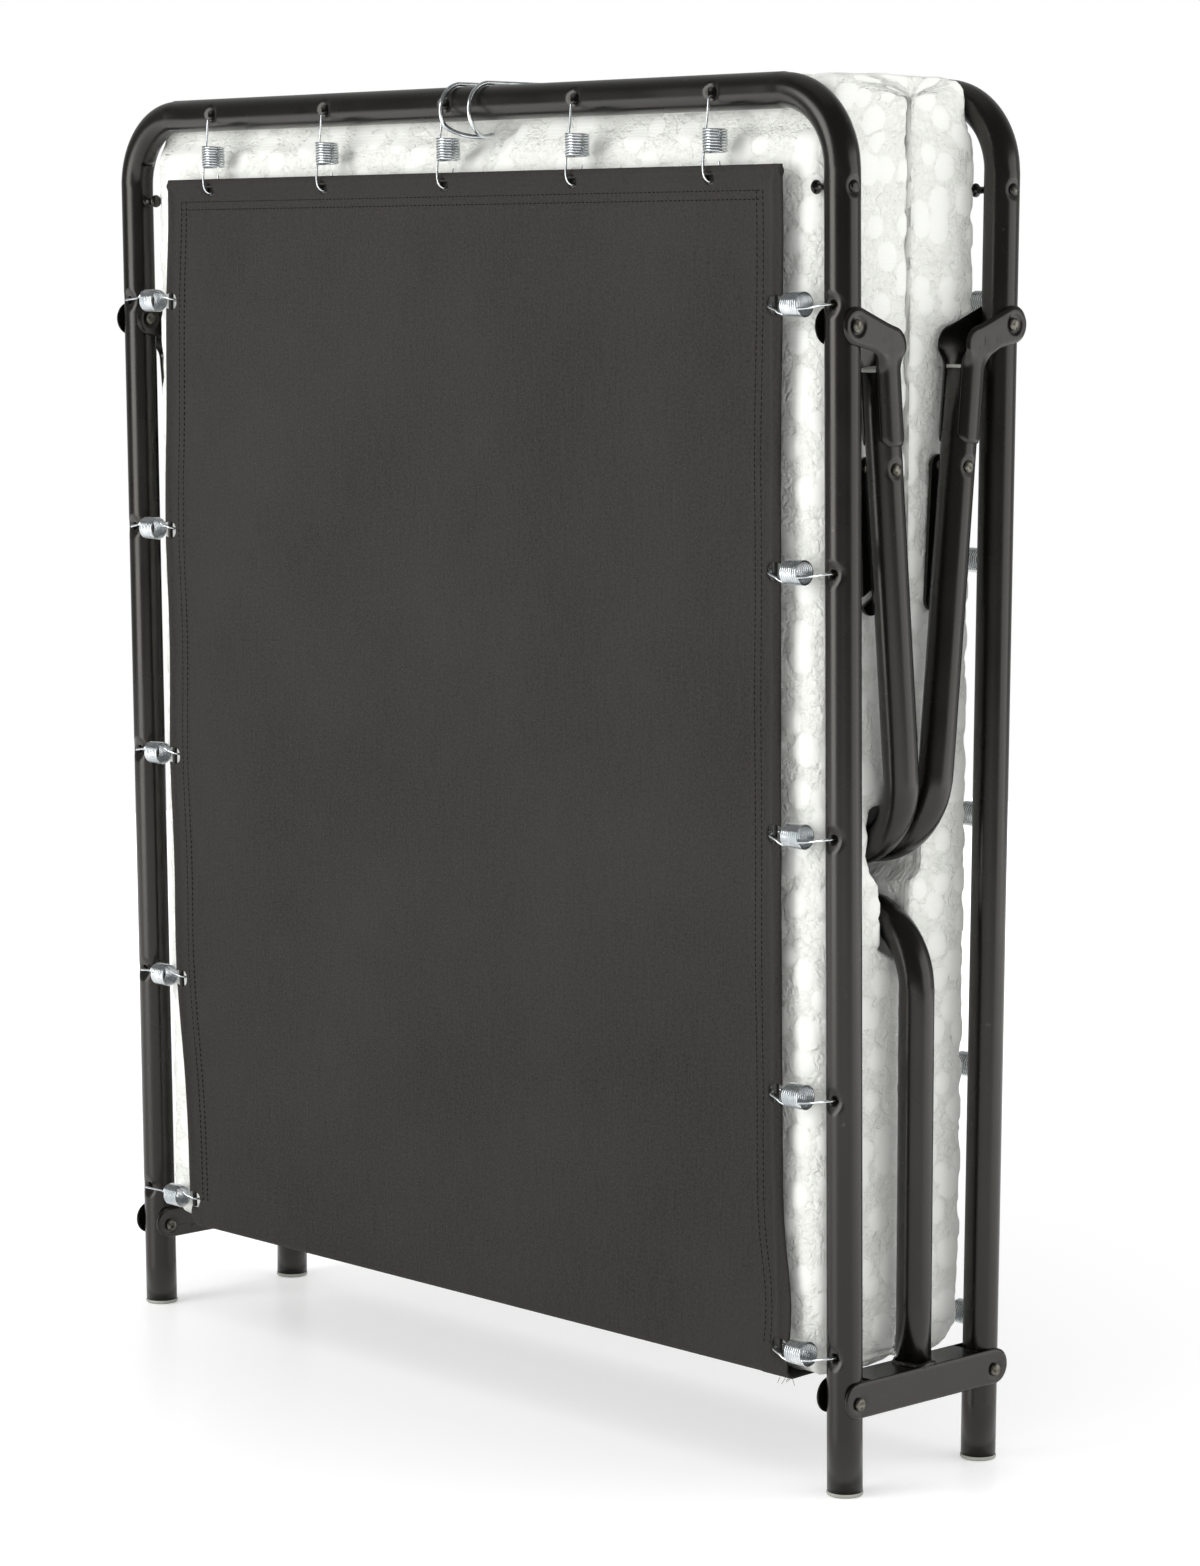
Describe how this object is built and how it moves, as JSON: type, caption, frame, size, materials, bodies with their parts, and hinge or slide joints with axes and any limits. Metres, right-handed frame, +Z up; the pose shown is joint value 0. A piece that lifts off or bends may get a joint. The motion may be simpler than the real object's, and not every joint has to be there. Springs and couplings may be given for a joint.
{
  "type": "folding cot",
  "caption": "Folding guest bed: hinged tube frames with sprung sheet panels, fold-out legs and stays, and a quilted foam mattress stored between the folded halves.",
  "frame": {"origin": "centre of the footprint on the floor, under the folded cot", "axes": "X across the bed, Y from the front half to the back half, Z up from the floor"},
  "size_m": [0.8094, 0.206, 0.9796],
  "materials": {
    "black_steel": "satin",
    "rivet_steel": "satin",
    "zinc_wire": "satin",
    "cap_plastic": "matte",
    "woven_sheet": "matte",
    "knit_cover": "matte"
  },
  "bodies": {
    "hinge_center": {"hinge_channel_left": "black_steel", "hinge_channel_right": "black_steel", "center_leg": "black_steel", "fold_rivets": "rivet_steel", "sheet_center": "woven_sheet"},
    "front_half": {"front_frame_tube": "black_steel", "front_foot_caps": "cap_plastic", "front_springs": "zinc_wire", "front_hem_rods": "zinc_wire", "front_sheet": "woven_sheet", "front_stay_pegs": "black_steel", "front_leg_rivets": "rivet_steel"},
    "back_half": {"back_frame_tube": "black_steel", "back_foot_caps": "cap_plastic", "back_springs": "zinc_wire", "back_hem_rods": "zinc_wire", "back_sheet": "woven_sheet", "back_stay_pegs": "black_steel", "back_leg_rivets": "rivet_steel"},
    "front_leg": {"front_leg_tube": "black_steel", "front_leg_brackets": "black_steel", "front_leg_plugs": "cap_plastic", "front_stay_rivets": "rivet_steel"},
    "back_leg": {"back_leg_tube": "black_steel", "back_leg_brackets": "black_steel", "back_leg_plugs": "cap_plastic", "back_stay_rivets": "rivet_steel"},
    "front_stays": {"front_stay_left": "black_steel", "front_stay_right": "black_steel"},
    "back_stays": {"back_stay_left": "black_steel", "back_stay_right": "black_steel"},
    "latch": {"latch_wire": "zinc_wire"},
    "mattress": {"mattress": "knit_cover"}
  },
  "joints": [
    {"name": "front_fold", "type": "hinge", "parent": "hinge_center", "child": "front_half", "pos_m": [0, -0.0698, 0.0666], "axis": [1, 0, 0], "range_deg": [0, 89.3], "deforming": ["mattress", "sheet_center"]},
    {"name": "front_leg_turn", "type": "hinge", "parent": "front_half", "child": "front_leg", "pos_m": [0, -0.07883, 0.80555], "axis": [1, 0, 0], "range_deg": [0, 106]},
    {"name": "front_stay_turn", "type": "hinge", "parent": "front_leg", "child": "front_stays", "pos_m": [0, -0.03653, 0.70842], "axis": [1, 0, 0], "range_deg": [-216.2, 0]},
    {"name": "back_fold", "type": "hinge", "parent": "hinge_center", "child": "back_half", "pos_m": [0, 0.0698, 0.0666], "axis": [-1, 0, 0], "range_deg": [0, 89.3], "deforming": ["mattress", "sheet_center"]},
    {"name": "back_leg_turn", "type": "hinge", "parent": "back_half", "child": "back_leg", "pos_m": [0, 0.07883, 0.80555], "axis": [-1, 0, 0], "range_deg": [0, 106]},
    {"name": "back_stay_turn", "type": "hinge", "parent": "back_leg", "child": "back_stays", "pos_m": [0, 0.03653, 0.70842], "axis": [-1, 0, 0], "range_deg": [-216.2, 0]},
    {"name": "latch_turn", "type": "hinge", "parent": "front_half", "child": "latch", "pos_m": [0, -0.08076, 0.95863], "axis": [1, 0, 0], "range_deg": [0, 160]},
    {"name": "mattress_lift", "type": "slide", "parent": "hinge_center", "child": "mattress", "axis": [0, 0, 1], "range_m": [0, 1], "deforming": ["mattress"]}
  ],
  "couplings": [
    {"joint": "front_leg_turn", "follows": "front_fold", "ratio": 1.1864},
    {"joint": "front_stay_turn", "follows": "front_fold", "ratio": -2.4186},
    {"joint": "back_leg_turn", "follows": "back_fold", "ratio": 1.1864},
    {"joint": "back_stay_turn", "follows": "back_fold", "ratio": -2.4186}
  ]
}
